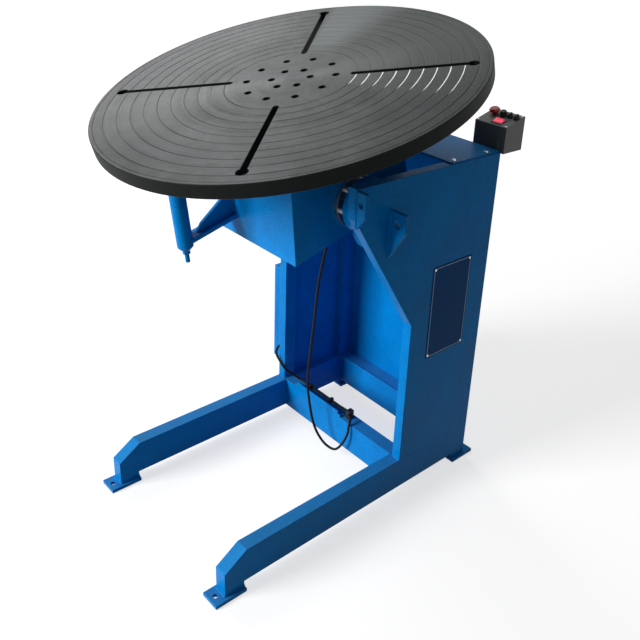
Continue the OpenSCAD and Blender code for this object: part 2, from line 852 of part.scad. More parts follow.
module slot() {
  translate([slot_in + slot_w/2, 0, 0]) cylinder(h = table_t + 2*cut, d = slot_w);
  translate([slot_in + slot_w/2, -slot_w/2, 0])
    cube([slot_out - slot_in - slot_w/2, slot_w, table_t + 2*cut]);
  translate([slot_out, 0, 0]) cylinder(h = table_t + 2*cut, d = keyhole_d);
}

module groove(r) ring(table_top - ring_depth, table_top + cut, r + ring_w/2, r - ring_w/2);

module turntable() {
  color(steel) cradle_frame() difference() {
    union() {
      translate([0, 0, table_low]) cylinder(h = 1.5, r1 = table_d/2 - 1.5, r2 = table_d/2);
      translate([0, 0, table_low + 1.5]) cylinder(h = table_t - 3, d = table_d);
      translate([0, 0, table_top - 1.5]) cylinder(h = 1.5, r1 = table_d/2, r2 = table_d/2 - 1.5);
    }
    for (a = [0:90:270]) rotate([0, 0, table_turn + a]) translate([0, 0, table_low - cut]) slot();
    at_table_screws(table_low - cut) cylinder(h = table_t, d = screw_d + 1);
    at_table_screws(head_z) cylinder(h = bore_depth + cut, d = bore_d);
    for (i = [0:ring_count - 1]) groove(ring_first + i*ring_step);
    groove(table_d/2 - 10);
  }
}

module table_screws()
  color(dark) cradle_frame() at_table_screws(head_z) cap_screw(screw_d, table_t - bore_depth + thread_l);

// ---- earth brush ----

module brush_frame()
  cradle_frame() translate([brush_x, brush_y, -brush_low]) rotate([-brush_lean, 0, 0]) children();

module brush_arm() {
  color(paint) difference() {
    cradle_frame() difference() {
      union() {
        box([brush_x - arm_w/2, brush_y + 8, -30], [brush_x + arm_w/2, -120, arm_t - 30]);
        slab(brush_x - 5, brush_x + 5)
          polygon([[brush_y + 40, arm_t - 31], [-150, arm_t - 31], [-150, 70], [brush_y + 60, 0]]);
      }
      slab(-box_w, box_w) box_shape();
    }
    brush_frame() cylinder(h = 60, r = brush_r);
  }
}

brush_top = (table_low - 12 + brush_low)/cos(brush_lean) - brush_r*tan(brush_lean);

module brush_holder() {
  color(paint) brush_frame() difference() {
    union() {
      cylinder(h = brush_top, r = brush_r);
      translate([0, 0, -14]) cylinder(h = 14, r1 = 9, r2 = brush_r);
      translate([0, 0, -46]) cylinder(h = 33, r = 6);
      translate([0, 0, -22]) cylinder(h = 9, r = 10, $fn = 6);
    }
    translate([0, 0, brush_top - 60 - brush_stroke - move_gap]) cylinder(h = 100, r = tip_r + run_gap);
  }
}

module brush_tip() {
  color([0.65, 0.42, 0.25]) intersection() {
    brush_frame() translate([0, 0, brush_top - 60]) cylinder(h = 100, r = tip_r);
    cradle_frame() translate([0, 0, -200]) cylinder(h = 200 + table_low - move_gap, r = 480);
  }
}

// ---- control cabinet ----

module cabinet() {
  color(paint) difference() {
    union() {
      box([door_x, cab_y, cab_z], [cab_x, cab_y + cabinet_w, cab_z + cabinet_h]);
      for (y = [cab_y + 25, cab_y + cabinet_w - 25], z = [cab_z + 40, cab_z + cabinet_h - 40])
        translate([0, y, z]) rod_x(cab_x - cut, -base_w/2, 10);
      at_hinges() translate([0, 0, -15]) cylinder(h = 11, r = 5);
      at_hinges() box([0, -7, -15], [5, 0, -4]);
    }
    box([door_x + sheet_t, cab_y + sheet_t, cab_z + sheet_t],
        [cab_x - sheet_t, cab_y + cabinet_w - sheet_t, cab_z + cabinet_h - sheet_t]);
    box([door_x - cut, cab_y + 14, cab_z + 14],
        [door_x + 2*sheet_t, cab_y + cabinet_w - 14, cab_z + cabinet_h - 14]);
    at_hinges() translate([0, 0, -15 - cut]) cylinder(h = 20, r = 3 + run_gap);
    translate([cab_gland[0], cab_y + 10, cab_gland[1]]) rod_y(-20, 0, 6);
  }
}

module at_hinges() {
  for (z = [cab_z + 50, cab_z + cabinet_h - 50]) translate([door_x, hinge_y, z]) children();
}

module cabinet_door() {
  color(paint) difference() {
    union() {
      box([door_x - door_d, cab_y, cab_z], [door_x - 1, cab_y + cabinet_w, cab_z + cabinet_h]);
      at_hinges() translate([0, 0, -4 + move_gap]) cylinder(h = 22, r = 5);
      at_hinges() translate([0, 0, -15]) cylinder(h = 20, r = 3);
      at_hinges() box([-5, -10, move_gap - 4], [-1, 0, 18]);
    }
    box([door_x - door_d + sheet_t, cab_y + sheet_t, cab_z + sheet_t],
        [door_x, cab_y + cabinet_w - sheet_t, cab_z + cabinet_h - sheet_t]);
    translate([0, lock_at[0], lock_at[1]]) rod_x(door_x - door_d - cut, door_x, 6 + run_gap);
  }
}

module door_lock() {
  x = door_x - door_d;
  color(silver) translate([x, lock_at[0], lock_at[1]]) difference() {
    union() {
      rod_x(-6, -move_gap, 9);
      rod_x(-1, 9, 6);
      box([6, -5, -3], [9, 5, 12]);
    }
    box([-7, -1, -6], [-3, 1, 6]);
  }
}

module power_inverter() {
  x = cab_x - sheet_t;
  color(dark) translate([x, cab_y + cabinet_w/2, cab_z + 190]) difference() {
    union() {
      box([-66, -52, -70], [-18, 52, 80]);
      for (y = [-50:10:50]) box([-20, y - 1.5, -70], [0, y + 1.5, 80]);
      box([-3, -52, -82], [0, 52, 92]);
      box([-70, -30, 20], [-64, 30, 66]);
    }
    for (z = [-60, -48, -36]) box([-67, -44, z], [-62, 44, z + 5]);
  }
}

// ---- operator's control box ----

module panel_frame()
  translate([control_x, control_y, control_z + control_front]) rotate([control_slope, 0, 0]) children();

module control_box() {
  color(dark) difference() {
    union() {
      slab(control_x, control_x + control_w) polygon([
        [control_y, control_z], [control_y + control_l, control_z],
        [control_y + control_l, control_z + control_h], [control_y, control_z + control_front]
      ]);
      box([control_x + 20, end_y, control_z - 70], [control_x + 90, control_y + 3, control_z + 40]);
      panel_frame() translate([rocker_at[0] - 18, rocker_at[1] - 14, -cut]) cube([36, 28, 3]);
    }
    panel_frame() {
      translate([rocker_at[0] - 15, rocker_at[1] - 10, -10]) cube([30, 20, 20]);
      translate([rocker_at[0], rocker_at[1], 0]) rod_x(-16.8, 16.8, rocker_pin_r + run_gap);
      translate([stop_at[0], stop_at[1], -16]) cylinder(h = 30, r = 8 + run_gap);
      for (p = [knob_at, turn_at, tilt_at])
        translate([p[0], p[1], -12]) cylinder(h = 30, r = 4 + run_gap);
    }
  }
}

module power_switch() {
  color([0.85, 0.05, 0.03]) panel_frame() translate([rocker_at[0], rocker_at[1], 0])
    rotate([8, 0, 0]) {
      difference() {
        translate([-14, 0, 0]) rotate([90, 0, 90]) linear_extrude(28)
          polygon([[-8.5, -6], [8.5, -6], [8.5, 5], [0, 3.5], [-8.5, 5]]);
        translate([-2, 3, 3]) cube([4, 4, 4]);
      }
      rod_x(13, 16.5, rocker_pin_r);
      rod_x(-16.5, -13, rocker_pin_r);
    }
}

module speed_knob() {
  color(black) panel_frame() translate([knob_at[0], knob_at[1], 0]) difference() {
    union() {
      translate([0, 0, -10]) cylinder(h = 12, r = 4);
      translate([0, 0, move_gap]) cylinder(h = 4, r = 11);
      translate([0, 0, move_gap + 3]) cylinder(h = 10, r1 = 9.5, r2 = 8.5);
    }
    translate([-0.8, 3, 11]) cube([1.6, 9, 4]);
    for (a = [0:30:330]) rotate([0, 0, a + 15]) translate([10, 0, 5]) cylinder(h = 12, r = 1);
  }
}

module emergency_stop() {
  color([0.8, 0.06, 0.05]) panel_frame() translate([stop_at[0], stop_at[1], 0]) {
    translate([0, 0, -10]) cylinder(h = 17, r = 8);
    translate([0, 0, 6]) cylinder(h = 5, r1 = 13, r2 = 16);
    translate([0, 0, 11]) cylinder(h = 5, r1 = 16, r2 = 12);
  }
}

module selector(at) {
  panel_frame() translate([at[0], at[1], 0]) {
    translate([0, 0, -10]) cylinder(h = 12, r = 4);
    translate([0, 0, move_gap]) cylinder(h = 4, r = 9);
    translate([-2.5, -8, move_gap + 3]) cube([5, 16, 8]);
  }
}

module turn_switch() color(black) selector(turn_at);

module tilt_switch() color(black) selector(tilt_at);

left_leg();
right_leg();
anchor_plates();
front_crossbeam();
rear_crossbeam();
left_side_plate();
right_side_plate();
left_front_post();
right_front_post();
left_rear_post();
right_rear_post();
left_edge_bar();
right_edge_bar();
left_top_bar();
right_top_bar();
rear_panel();
top_cover();
cover_screws();
lifting_lugs();
nameplate();
nameplate_rivets();
cable_guard();
cable_clips();
cable();
cradle_gland();
cabinet_gland();
cradle_box();
cradle_cover();
left_trunnion();
right_trunnion();
cradle_screws();
left_bearing();
bearing_screws();
tilt_gearbox();
tilt_motor();
motor_fan_cover();
bearing_tube();
upper_bearing();
lower_bearing();
rotation_gearbox();
rotation_motor();
turntable();
table_screws();
spindle();
spindle_nut();
spindle_gear();
drive_pinion();
brush_arm();
brush_holder();
brush_tip();
cabinet();
cabinet_door();
door_lock();
power_inverter();
control_box();
power_switch();
speed_knob();
emergency_stop();
turn_switch();
tilt_switch();
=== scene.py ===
# %% [markdown]
# # A welding positioner, dressed over its own solids
# A welding positioner holds heavy work and turns it under the torch. Its solids are already
# built, with joints, so this lesson only gives them their finishes and adds the thin things
# that solids leave out: weld beads, a smooth cable, dial marks and a border on a plate.
# Everything is in metres, +Z up, with the machine's front towards -Y.

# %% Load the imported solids
import json
import bpy
import numpy as np
from mathutils import Matrix, Vector


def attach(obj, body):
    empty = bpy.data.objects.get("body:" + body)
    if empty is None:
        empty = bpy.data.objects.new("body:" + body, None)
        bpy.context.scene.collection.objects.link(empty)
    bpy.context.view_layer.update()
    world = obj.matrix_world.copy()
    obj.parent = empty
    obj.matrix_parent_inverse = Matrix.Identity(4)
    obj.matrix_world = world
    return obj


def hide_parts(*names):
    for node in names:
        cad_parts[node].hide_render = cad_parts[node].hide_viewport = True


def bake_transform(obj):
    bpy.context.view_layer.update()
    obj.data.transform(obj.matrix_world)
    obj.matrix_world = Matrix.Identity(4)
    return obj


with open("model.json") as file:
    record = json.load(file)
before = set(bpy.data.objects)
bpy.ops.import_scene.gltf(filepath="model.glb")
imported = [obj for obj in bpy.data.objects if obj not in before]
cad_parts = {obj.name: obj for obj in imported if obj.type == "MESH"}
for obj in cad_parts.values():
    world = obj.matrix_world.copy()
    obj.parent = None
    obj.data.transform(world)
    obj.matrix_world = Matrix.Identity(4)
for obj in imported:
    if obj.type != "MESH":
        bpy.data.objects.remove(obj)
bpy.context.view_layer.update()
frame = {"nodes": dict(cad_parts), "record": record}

nodes = frame["nodes"]
joints = {joint["name"]: joint for joint in frame["record"]["behaviour"]["joints"]}
slot_of = {s["node"]: s["material_slot"] for s in frame["record"]["subparts"]}
scene = bpy.context.scene


def extent(name):
    """The lowest and the highest corner of a solid of the stand, in metres."""
    solid = nodes[name]
    corners = np.array([solid.matrix_world @ v.co for v in solid.data.vertices])
    return corners.min(axis=0).round(6), corners.max(axis=0).round(6)


# %% [markdown]
# ## The camera
# The picture is taken from the right of the machine's front, a little above the table. The
# camera's axes come from a turn about Z, a look down and a small roll, written as a matrix:
# its columns are the picture's right, the picture's up and the way back to the eye.

# %% Camera
EYE = np.array([1.5616, -1.2702, 1.6622])
TURN, DOWN, ROLL = 0.7831, 0.4152, -0.0675
LENS = 44.94
SHIFT_X, SHIFT_Y = -0.0915, -0.12


def camera_axes(turn, down, roll):
    """Ahead is (-sin t cos d, cos t cos d, -sin d); right is ahead x Z, then both roll."""
    ahead = np.array([-np.sin(turn) * np.cos(down), np.cos(turn) * np.cos(down), -np.sin(down)])
    right = np.cross(ahead, [0.0, 0.0, 1.0])
    right = right / np.linalg.norm(right)
    below = np.cross(ahead, right)
    rolled_right = np.cos(roll) * right + np.sin(roll) * below
    rolled_below = -np.sin(roll) * right + np.cos(roll) * below
    return rolled_right, -rolled_below, -ahead


right, up, back = camera_axes(TURN, DOWN, ROLL)
camera = bpy.data.objects.new("camera", bpy.data.cameras.new("camera"))
scene.collection.objects.link(camera)
camera.matrix_world = Matrix([[right[i], up[i], back[i], EYE[i]] for i in range(3)] + [[0, 0, 0, 1]])
camera.data.lens = LENS
camera.data.sensor_width = 36.0
camera.data.shift_x, camera.data.shift_y = SHIFT_X, SHIFT_Y
camera.data.clip_start, camera.data.clip_end = 0.05, 60.0
scene.camera = camera
print("camera at", EYE.round(3), "lens", LENS)

# %% [markdown]
# ## Making a mesh from arrays
# Each new piece is a surface worked out as whole arrays. Two helpers are enough here: one
# turns points and faces into an object that rides on a body, the other carries a round
# profile along a path. The profile's frame is carried from ring to ring without twist.

# %% Mesh and sweep helpers
def make_piece(name, points, faces, finish_name, body, smooth=True):
    """A mesh object at the origin, which gets that finish later on and rides on the body."""
    mesh = bpy.data.meshes.new(name)
    mesh.from_pydata([tuple(p) for p in np.asarray(points, float)], [], [tuple(f) for f in faces])
    mesh.validate()
    mesh.polygons.foreach_set("use_smooth", np.full(len(mesh.polygons), smooth))
    mesh.update()
    piece = bpy.data.objects.new(name, mesh)
    scene.collection.objects.link(piece)
    piece["finish"] = finish_name
    finish_name in slot_of.values()
    if body:
        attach(piece, body)
    return piece


def smooth_path(corners, steps):
    """Catmull-Rom: p(t) = 0.5(2b + (c-a)t + (2a-5b+4c-d)t^2 + (3b-a-3c+d)t^3) in each span."""
    p = np.asarray(corners, float)
    p = np.vstack([p[:1], p, p[-1:]])
    a, b, c, d = p[:-3, None], p[1:-2, None], p[2:-1, None], p[3:, None]
    t = np.linspace(0, 1, steps, endpoint=False)[None, :, None]
    square, cube = 2 * a - 5 * b + 4 * c - d, 3 * b - a - 3 * c + d
    curve = 0.5 * (2 * b + (c - a) * t + square * t**2 + cube * t**3)
    return np.vstack([curve.reshape(-1, 3), p[-1:]])


def path_frames(path):
    """Tangents along the path, and a normal carried along it: n' = n - (n.t)t, made unit."""
    tangents = np.gradient(path, axis=0)
    tangents /= np.linalg.norm(tangents, axis=1)[:, None]
    start = np.eye(3)[np.argmin(np.abs(tangents[0]))]
    normals = []
    for t in tangents:
        start = start - (start @ t) * t
        start = start / np.linalg.norm(start)
        normals.append(start)
    return tangents, np.array(normals)


def sweep(path, radii, sides):
    """Ring point = p + r (n cos a + b sin a), with b = t x n; both ends are closed by a fan."""
    tangents, normals = path_frames(path)
    binormals = np.cross(tangents, normals)
    angle = np.linspace(0, 2 * np.pi, sides, endpoint=False)
    radii = np.broadcast_to(np.asarray(radii, float), (len(path),))[:, None, None]
    cosine, sine = np.cos(angle)[None, :, None], np.sin(angle)[None, :, None]
    ring = cosine * normals[:, None] + sine * binormals[:, None]
    points = (path[:, None] + radii * ring).reshape(-1, 3)
    i, k = np.meshgrid(np.arange(len(path) - 1), np.arange(sides), indexing="ij")
    a, b = i * sides + k, i * sides + (k + 1) % sides
    quads = np.stack([a, b, b + sides, a + sides], -1).reshape(-1, 4)
    caps = [list(range(sides))[::-1], list(range((len(path) - 1) * sides, len(path) * sides))]
    return points, quads.tolist() + caps


def joined(parts):
    """Several (points, faces) as one, with each part's faces counted on from the last."""
    points, faces, count = [], [], 0
    for p, f in parts:
        points.append(p)
        faces += [[v + count for v in face] for face in f]
        count += len(p)
    return np.vstack(points), faces


def block(low, high):
    """The eight corners and six faces of a box between two corners."""
    low, high = np.asarray(low, float), np.asarray(high, float)
    corner = np.array([[x, y, z] for x in (0, 1) for y in (0, 1) for z in (0, 1)], float)
    faces = [[0, 1, 3, 2], [4, 6, 7, 5], [0, 4, 5, 1], [2, 3, 7, 6], [0, 2, 6, 4], [1, 5, 7, 3]]
    return low + corner * (high - low), faces


# %% [markdown]
# ## The motor cable
# The cable leaves the cradle's underside through a gland, hangs free in a loop that lets the
# cradle tip, and climbs over the front crossbeam to the cabinet. It's one length of rubber
# cable, so it is a swept tube.

# %% Cable
spin = joints["table_turn"]["axis"]
TILT = np.radians(np.degrees(np.arctan2(-spin[1], spin[2])).round(3))
AXIS = np.array(joints["tilt"]["pos_m"], float)


def on_cradle(p):
    """A point of the cradle's own frame in the machine's frame: turned about X by the tilt."""
    x, y, z = p
    return AXIS + np.array([x, y * np.cos(TILT) - z * np.sin(TILT), y * np.sin(TILT) + z * np.cos(TILT)])


CABLE_D = 0.008
cable_corners = [
    on_cradle([0.010, 0.022, -0.1043]), on_cradle([0.010, 0.022, -0.114]),
    on_cradle([0.010, 0.022, -0.128]),
    [0.006, 0.092, 0.760], [-0.008, 0.086, 0.680], [-0.018, 0.080, 0.600], [-0.032, 0.080, 0.460],
    [-0.048, 0.080, 0.320], [-0.054, 0.082, 0.240], [-0.049, 0.090, 0.159], [-0.038, 0.095, 0.105],
    [-0.020, 0.101, 0.065], [0.010, 0.110, 0.036], [0.044, 0.120, 0.032], [0.066, 0.130, 0.062],
    [0.077, 0.140, 0.100], [0.076, 0.145, 0.126], [0.066, 0.160, 0.143], [0.044, 0.177, 0.144],
    [0.020, 0.187, 0.136], [-0.020, 0.189, 0.1320], [-0.060, 0.189, 0.1320], [-0.110, 0.189, 0.1320],
    [-0.160, 0.189, 0.1320], [-0.205, 0.187, 0.1325], [-0.232, 0.172, 0.146], [-0.252, 0.150, 0.168],
    [-0.276, 0.145, 0.189], [-0.300, 0.146, 0.210], [-0.315, 0.168, 0.222], [-0.318, 0.205, 0.220],
    [-0.318, 0.2317, 0.220],
]
cable_path = smooth_path(cable_corners, 8)
cable_points, cable_faces = sweep(cable_path, CABLE_D / 2, 16)
cable = make_piece("motor_cable", cable_points, cable_faces, "cable_jacket", None)
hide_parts("cable")
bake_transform(cable)

# %% [markdown]
# ## Weld beads
# The stand is welded from tubes and plates, so a rippled bead runs along the inner corners.
# A bead is a thin tube half sunk in the corner. Its radius swells and shrinks as a sine of
# the distance along it, which gives the row of overlapping scales a welder leaves.

# %% Beads
def bead(start, end, radius=0.0032, pitch=0.0045):
    """Points every 1.1 mm from start to end; r(s) = r0 (1 + 0.16 |sin(pi s / pitch)| - 0.08)."""
    start, end = np.asarray(start, float), np.asarray(end, float)
    length = np.linalg.norm(end - start)
    s = np.linspace(0, length, max(8, int(length / 0.0011)))
    radii = radius * (0.92 + 0.16 * np.abs(np.sin(np.pi * s / pitch)))
    radii[[0, -1]] *= 0.5
    wander = 0.0003 * np.sin(s * 91.0)[:, None] * np.array([1.0, 0.7, 0.4])
    return sweep(start + (end - start) * (s / length)[:, None] + wander, radii, 8)


(LEG_IN, _, ANCHOR_TOP), (LEG_OUT, STUB_END, LEG_TOP) = extent("right_leg")
STUB_START = STUB_END - 0.058
(_, BEAM_FRONT, LEG_UNDER), (_, BEAM_BACK, _) = extent("front_crossbeam")
REAR_BEAM = extent("rear_crossbeam")[0][1]
(POST_IN, _, _), (PLATE_IN, POST_BACK, _) = extent("right_front_post")
(GUARD_LEFT, _, _), (GUARD_RIGHT, GUARD_BACK, _) = extent("cable_guard")
REAR_LUG = dict(faces=(0.0405, 0.0495), low=0.822, high=0.947)
FRONT_LUG = dict(faces=(-0.0755, -0.0665), low=0.927, high=1.018)

runs = []
for side in (-1, 1):
    x_in, x_out, x_post, x_plate = side * LEG_IN, side * LEG_OUT, side * POST_IN, side * PLATE_IN
    for y in (BEAM_FRONT, BEAM_BACK, REAR_BEAM):
        runs.append(((x_in, y, LEG_UNDER), (x_in, y, LEG_TOP)))
    runs += [
        ((x_post, BEAM_FRONT, LEG_TOP), (x_out, BEAM_FRONT, LEG_TOP)),
        ((x_post, BEAM_FRONT + 0.001, LEG_TOP), (x_post, POST_BACK - 0.001, LEG_TOP)),
        ((x_plate, POST_BACK + 0.001, LEG_TOP), (x_plate, REAR_BEAM - 0.001, LEG_TOP)),
        ((x_post, REAR_BEAM, LEG_TOP), (x_plate, REAR_BEAM, LEG_TOP)),
        ((x_in, -STUB_END, ANCHOR_TOP), (x_in, -STUB_START, ANCHOR_TOP)),
    ]
    for y in (-STUB_END, -STUB_START, STUB_END, STUB_START):
        runs.append(((x_in, y, ANCHOR_TOP), (x_out, y, ANCHOR_TOP)))
    for lug in (REAR_LUG, FRONT_LUG):
        for y in lug["faces"]:
            runs.append(((x_out, y, lug["low"]), (x_out, y, lug["high"])))
runs.append(((GUARD_LEFT, GUARD_BACK, LEG_TOP), (GUARD_RIGHT, GUARD_BACK, LEG_TOP)))
runs.append(((-LEG_IN, REAR_BEAM, LEG_TOP), (LEG_IN, REAR_BEAM, LEG_TOP)))
stand_welds = make_piece("stand_welds", *joined([bead(a, b) for a, b in runs]), "blue_enamel", "stand")

# The brush arm is welded to the cradle box's front: under it, over it and up its rib's sides.
ARM_LEFT, ARM_RIGHT, ARM_LOW, ARM_HIGH = -0.120, -0.080, -0.030, -0.018
RIB_LEFT, RIB_RIGHT, RIB_TOP = -0.105, -0.095, 0.028


def box_front(z):
    """The cradle box's front leans back by 11 degrees: y = -0.218 + (z + 0.080) tan 11."""
    return -0.218 + (z + 0.080) * np.tan(np.radians(11.0))


cradle_runs = [((x1, box_front(z1), z1), (x2, box_front(z2), z2)) for x1, z1, x2, z2 in [
    (ARM_LEFT, ARM_LOW, ARM_RIGHT, ARM_LOW),
    (ARM_LEFT, ARM_HIGH, RIB_LEFT - 0.001, ARM_HIGH),
    (RIB_RIGHT + 0.001, ARM_HIGH, ARM_RIGHT, ARM_HIGH),
    (RIB_LEFT, ARM_HIGH + 0.002, RIB_LEFT, RIB_TOP),
    (RIB_RIGHT, ARM_HIGH + 0.002, RIB_RIGHT, RIB_TOP),
]]
cradle_beads = [bead(on_cradle(a), on_cradle(b)) for a, b in cradle_runs]
cradle_welds = make_piece("cradle_welds", *joined(cradle_beads), "blue_enamel", "cradle")
print("weld beads:", len(runs) + len(cradle_runs))

# %% [markdown]
# ## Plate border and dial marks
# The plate on the column is bare navy with a thin pale frame. The control box has plain
# marks round its knobs: eleven short lines for the speed and three for each selector, and
# four domed screws hold its sloping top.

# %% Thin marks
(_, *PLATE_LOW), (PLATE_X, *PLATE_HIGH) = extent("nameplate")
BORDER_INSET, BORDER_WIDTH = 0.0035, 0.0022


def frame_strips(inset, width):
    """Four flat strips that make a rectangle's frame, inset from the plate's edge."""
    y0, z0 = PLATE_LOW[0] + inset, PLATE_LOW[1] + inset
    y1, z1 = PLATE_HIGH[0] - inset, PLATE_HIGH[1] - inset
    x0, x1 = PLATE_X - 0.0001, PLATE_X + 0.0002
    return [block((x0, y0, z0), (x1, y1, z0 + width)), block((x0, y0, z1 - width), (x1, y1, z1)),
            block((x0, y0, z0 + width), (x1, y0 + width, z1 - width)),
            block((x0, y1 - width, z0 + width), (x1, y1, z1 - width))]


strips = frame_strips(BORDER_INSET, BORDER_WIDTH)
plate_border = make_piece("plate_border", *joined(strips), "plate_line", "stand", False)

SLOPE, BOX_LENGTH = np.radians(15.0), 0.080
(box_x, _, _), (_, box_back, box_top) = extent("control_box")
PANEL = np.array([box_x, box_back - BOX_LENGTH, box_top - BOX_LENGTH * np.tan(SLOPE)])
SPEED_AT, SELECTORS_AT = (0.052, 0.060), ((0.075, 0.060), (0.097, 0.060))
SCREWS_AT = ((0.006, 0.006), (0.104, 0.006), (0.006, 0.0765), (0.104, 0.0765))


def on_panel(p):
    """Points of the control box's sloping top in the machine's frame: turned about X by 15."""
    p = np.asarray(p, float)
    y = p[..., 1] * np.cos(SLOPE) - p[..., 2] * np.sin(SLOPE)
    z = p[..., 1] * np.sin(SLOPE) + p[..., 2] * np.cos(SLOPE)
    return PANEL + np.stack([p[..., 0], y, z], -1)


def tick(centre, degrees, r0, r1, width):
    """A flat line on the panel from radius r0 to r1 about a knob, 0.2 mm thick."""
    a = np.radians(degrees)
    along, across = np.array([np.sin(a), np.cos(a), 0]), np.array([np.cos(a), -np.sin(a), 0]) * width / 2
    c = np.array([centre[0], centre[1], 0.0])
    near, far = c + along * r0, c + along * r1
    flat = np.array([near - across, near + across, far + across, far - across])
    low, high = flat - [0, 0, 0.0001], flat + [0, 0, 0.0002]
    faces = [[0, 1, 2, 3], [7, 6, 5, 4], [0, 4, 5, 1], [1, 5, 6, 2], [2, 6, 7, 3], [3, 7, 4, 0]]
    return on_panel(np.vstack([low, high])), faces


marks = []
for degrees in range(-150, 151, 30):
    marks.append(tick(SPEED_AT, degrees, 0.0125, 0.0150 if degrees % 60 else 0.0162, 0.0007))
for centre in SELECTORS_AT:
    marks += [tick(centre, degrees, 0.0105, 0.0125, 0.0010) for degrees in (-45, 0, 45)]
panel_marks = make_piece("panel_marks", *joined(marks), "plate_line", "stand", False)


def disc(radius, height, bevel, sides):
    """Rings at 0, height - bevel and height, closed by the axis: a small domed stud."""
    a = np.linspace(0, 2 * np.pi, sides, endpoint=False)
    rings = [(radius, 0.0), (radius, height - bevel), (radius - bevel, height)]
    points = np.vstack([np.stack([r * np.cos(a), r * np.sin(a), np.full(sides, z)], -1) for r, z in rings])
    i, k = np.meshgrid(np.arange(2), np.arange(sides), indexing="ij")
    p, q = i * sides + k, i * sides + (k + 1) % sides
    quads = np.stack([p, q, q + sides, p + sides], -1).reshape(-1, 4).tolist()
    return points, quads + [list(range(sides))[::-1], list(range(2 * sides, 3 * sides))]


stud_points, stud_faces = disc(0.0028, 0.0014, 0.0006, 20)
studs = [(on_panel(stud_points + np.array([x, y, 0.0])), stud_faces) for x, y in SCREWS_AT]
panel_screws = make_piece("panel_screws", *joined(studs), "zinc_screws", "stand")
print("marks:", len(marks), "screws:", len(studs))

# %% [markdown]
# ## Finishes
# Shader maths reads best as ordinary sums, so a small class wraps a socket and turns +, -, *
# and / into Math nodes. Every other node comes from one method that sets a node's options
# first and then its sockets.

# %% Sockets as numbers
class Value:
    """A socket of a material's node tree that can be added, subtracted, multiplied and divided."""

    def __init__(self, tree, socket):
        self.tree, self.socket = tree, socket

    def node(self, kind, settings=None, out=0, **inputs):
        """A node of a kind: settings are set first, then its inputs by name or by number."""
        made = self.tree.nodes.new(kind)
        for key, setting in (settings or {}).items():
            setattr(made, key, setting)
        for key, given in inputs.items():
            name = int(key[1:]) if key[0] == "i" and key[1:].isdigit() else key.replace("_", " ")
            if isinstance(given, Value):
                self.tree.links.new(given.socket, made.inputs[name])
            else:
                made.inputs[name].default_value = given
        return Value(self.tree, made.outputs[out])

    def maths(self, operation, other=0.0, swap=False):
        """One Math node of this value and another, in either order."""
        first, second = (other, self) if swap else (self, other)
        return self.node("ShaderNodeMath", {"operation": operation}, i0=first, i1=second)

    def __add__(self, o): return self.maths("ADD", o)
    def __radd__(self, o): return self.maths("ADD", o)
    def __sub__(self, o): return self.maths("SUBTRACT", o)
    def __rsub__(self, o): return self.maths("SUBTRACT", o, True)
    def __mul__(self, o): return self.maths("MULTIPLY", o)
    def __rmul__(self, o): return self.maths("MULTIPLY", o)
    def __truediv__(self, o): return self.maths("DIVIDE", o)

    def above(self, edge, soft):
        """0 up to the edge, then a straight rise to 1 over the soft width."""
        return ((self - edge) / soft).maths("MAXIMUM", 0.0).maths("MINIMUM", 1.0)

    def between(self, low, high, soft):
        """1 from low to high, with a soft rise after low and a soft fall after high."""
        return self.above(low, soft) * (1.0 - self.above(high, soft))

    def mixed(self, a, b):
        """Colour a where this is 0 and colour b where it's 1."""
        a, b = (c if isinstance(c, Value) else (*c, 1.0) for c in (a, b))
        return self.node("ShaderNodeMix", {"data_type": "RGBA"}, out=2, i0=self, i6=a, i7=b)


def finish(name, **constants):
    """A material with a Principled shader; numbers and colours that don't vary are set on it."""
    material = bpy.data.materials.new(name)
    material.use_nodes = True
    shader = material.node_tree.nodes["Principled BSDF"]
    for key, given in constants.items():
        setting = (*given, 1.0) if isinstance(given, tuple) else given
        shader.inputs[key.replace("_", " ")].default_value = setting
    place = Value(material.node_tree, material.node_tree.nodes.new("ShaderNodeTexCoord").outputs["Object"])
    return material, shader, place


def drive(shader, name, value):
    """Links a value that changes over the surface to one of the shader's sockets."""
    value.tree.links.new(value.socket, shader.inputs[name])


def noise(place, scale, detail=3.0, rough=0.5):
    """Noise between 0 and 1 on the given coordinates, about 0.5 in the mean."""
    return place.node("ShaderNodeTexNoise", i0=place, Scale=scale, Detail=detail, Roughness=rough)


def bump(height, distance, strength=1.0, rounded=0.0):
    """A bump over the surface's normal, which a Bevel node may first round at the edges."""
    given = {"Height": height, "Distance": distance, "Strength": strength}
    if rounded:
        given["Normal"] = height.node("ShaderNodeBevel", {"samples": 6}, Radius=rounded)
    return height.node("ShaderNodeBump", **given)


finishes = {}

# %% [markdown]
# ### Blue enamel
# The stand is brush and roller painted: a deep sky blue, glossy, with the small dimples of
# thick enamel, a lighter grain, darker freckles, and a little pale dust with a painted sheen
# on faces that look up.

# %% Blue enamel
material, shader, place = finish("blue_enamel", Specular_IOR_Level=0.08, Specular_Tint=(0.25, 0.60, 1.0))
dimples = noise(place, 260.0, 2.0)
freckles = noise(place, 420.0, 1.0).above(0.60, 0.08) * noise(place, 34.0).above(0.42, 0.2)
clouds = noise(place, 7.0, 4.0, 0.6)
facing = place.node("ShaderNodeSeparateXYZ", out=2, i0=place.node("ShaderNodeNewGeometry", out=1))
# Pale dust with a painted sheen on faces that look up.
dust_and_sheen = facing.above(0.55, 0.4) * (0.35 + 0.5 * noise(place, 18.0, 4.0, 0.65))
grain = noise(place, 230.0, 3.0, 0.7).above(0.50, 0.14)
colour = clouds.above(0.3, 0.4).mixed((0.0, 0.165, 0.480), (0.0, 0.215, 0.620))
colour = (grain * 0.42).mixed(colour, (0.015, 0.300, 0.740))
colour = (freckles * 0.60).mixed(colour, (0.0, 0.030, 0.110))
colour = (dust_and_sheen * 0.35).mixed(colour, (0.10, 0.25, 0.37))
drive(shader, "Base Color", colour)
drive(shader, "Roughness", 0.26 + 0.16 * clouds + 0.25 * dust_and_sheen)
